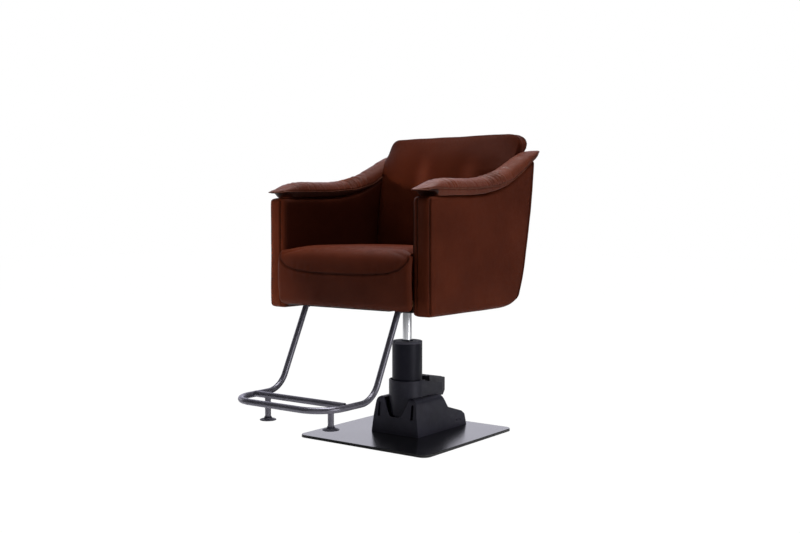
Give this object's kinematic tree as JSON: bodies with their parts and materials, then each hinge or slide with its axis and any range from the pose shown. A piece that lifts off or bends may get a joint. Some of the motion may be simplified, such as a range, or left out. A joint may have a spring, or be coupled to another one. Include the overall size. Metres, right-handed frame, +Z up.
{
  "type": "styling chair",
  "caption": "Upholstered tub styling chair on a square floor plate, with a hydraulic pump, rear foot pedal, swivel, and a bent-tube footrest.",
  "frame": {"origin": "centre of the floor plate's underside, on the axis of the ram", "axes": "+Z up along the ram, the chair faces -Y, +X is the sitter's left"},
  "size_m": [0.662, 0.9825, 1.0131],
  "materials": {
    "brown_leather": "satin",
    "cushion_core": "satin",
    "frame_wood": "matte",
    "black_plate": "satin",
    "black_metal": "satin",
    "gunmetal_tube": "satin",
    "black_plastic": "matte",
    "black_cover": "matte",
    "ram_chrome": "polished",
    "bare_steel": "satin",
    "cast_iron": "matte",
    "bronze": "satin",
    "black_rubber": "matte"
  },
  "bodies": {
    "base": {"base_plate": "black_plate", "pump_base": "cast_iron", "pump_bolts": "bare_steel", "pump_cylinder": "bare_steel", "reservoir_sleeve": "black_metal", "sleeve_cap": "black_metal", "guide_bush": "bronze", "wiper_seal": "black_rubber", "lower_shroud": "black_plastic", "upper_shroud": "black_plastic", "shroud_screws": "black_metal", "pedal_brackets": "cast_iron", "pedal_pin": "bare_steel", "pedal_spring": "bare_steel"},
    "plunger": {"pump_plunger": "bare_steel"},
    "pedal": {"pedal_lever": "cast_iron", "pedal_tread": "black_plastic"},
    "ram": {"ram_rod": "ram_chrome", "ram_piston": "bare_steel", "piston_seal": "black_rubber", "thrust_washer": "bronze"},
    "seat": {"swivel_hub": "cast_iron", "seat_mount_plate": "black_metal", "mount_bolts": "bare_steel", "seat_board": "frame_wood", "bottom_cover": "black_cover", "seat_cushion": "cushion_core", "left_arm_cover": "brown_leather", "left_arm_frame": "frame_wood", "left_inner_panel": "cushion_core", "left_arm_pad": "cushion_core", "right_arm_cover": "brown_leather", "right_arm_frame": "frame_wood", "right_inner_panel": "cushion_core", "right_arm_pad": "cushion_core", "back_cover": "cushion_core", "back_frame": "frame_wood", "back_cushion": "cushion_core", "footrest_sockets": "black_metal", "socket_screws": "bare_steel", "footrest_left_tube": "gunmetal_tube", "footrest_right_tube": "gunmetal_tube", "footrest_front_bow": "gunmetal_tube", "footrest_cross_bar": "gunmetal_tube", "footrest_posts": "gunmetal_tube", "footrest_feet": "black_rubber"}
  },
  "joints": [
    {"name": "seat_lift", "type": "slide", "parent": "base", "child": "ram", "axis": [0, 0, 1], "range_m": [-0.104, 0.045]},
    {"name": "seat_swivel", "type": "hinge", "parent": "ram", "child": "seat", "pos_m": [0, 0, 0.44], "axis": [0, 0, 1], "continuous": true},
    {"name": "pedal_press", "type": "hinge", "parent": "base", "child": "pedal", "pos_m": [0, 0.066, 0.112], "axis": [1, 0, 0], "range_deg": [-15, 0], "stiffness_Nm_per_rad": 20, "springref_deg": 11.46},
    {"name": "plunger_stroke", "type": "slide", "parent": "base", "child": "plunger", "axis": [0, 0, 1], "range_m": [-0.0095, 0.0005], "deforming": ["pedal_spring"]}
  ],
  "couplings": [
    {"joint": "plunger_stroke", "follows": "pedal_press", "m_per_rad": 0.033}
  ]
}
